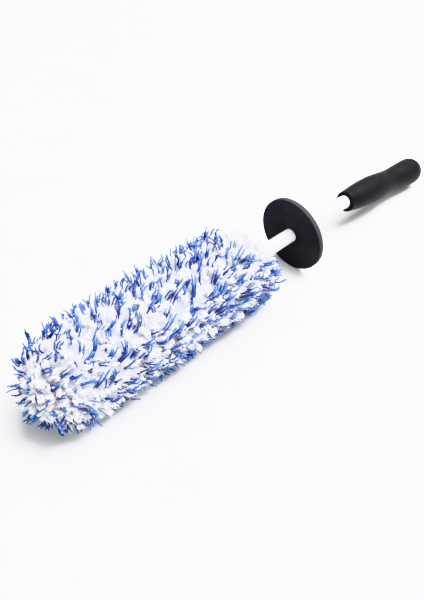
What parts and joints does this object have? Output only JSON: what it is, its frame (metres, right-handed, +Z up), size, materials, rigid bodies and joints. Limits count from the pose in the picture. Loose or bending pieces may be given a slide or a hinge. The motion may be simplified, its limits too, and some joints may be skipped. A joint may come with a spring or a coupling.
{
  "type": "wheel brush",
  "caption": "Hand brush with a long round head of soft pile for cleaning wheels, a splash guard that slides on its stem, and a foam grip on the cranked end.",
  "frame": {"origin": "middle of the whole length, on the surface that the brush lies on", "axes": "+X along the stem towards the grip, +Z up, with the stem's axis 35 mm above the surface"},
  "size_m": [0.4752, 0.076, 0.073],
  "materials": {
    "stem_plastic": "glossy white extruded tube",
    "plug_plastic": "plain moulded",
    "core_foam": "open-cell foam",
    "grip_foam": "satin black moulded foam skin",
    "guard_foam": "matt black cut foam sheet",
    "backing_cloth": "woven",
    "thread": "sewing thread and covered elastic",
    "white_pile": "fluffy cut pile",
    "blue_filament": "soft crimped filament"
  },
  "bodies": {
    "stem": {"stem_tube": "stem_plastic", "tip_plug": "plug_plastic", "foam_core": "core_foam", "butt_plug": "plug_plastic", "grip": "grip_foam"},
    "guard": {"splash_guard": "guard_foam"},
    "cover": {"cover_backing": "backing_cloth", "tip_panel": "backing_cloth", "side_seam": "thread", "tip_seam": "thread", "white_pile": "white_pile", "tip_pile": "white_pile", "blue_filaments": "blue_filament", "tip_filaments": "blue_filament", "neck_gather": "backing_cloth", "neck_hem": "backing_cloth", "neck_elastic": "thread", "hem_stitches": "thread", "neck_pile": "white_pile"}
  },
  "joints": [
    {"name": "guard_slide", "type": "slide", "parent": "stem", "child": "guard", "axis": [1, 0, 0], "range_m": [-0.026, 0.046]},
    {"name": "cover_pull", "type": "slide", "parent": "stem", "child": "cover", "axis": [-1, 0, 0], "range_m": [0, 0.24], "deforming": ["neck_gather", "neck_hem", "neck_elastic", "hem_stitches", "neck_pile"]}
  ]
}
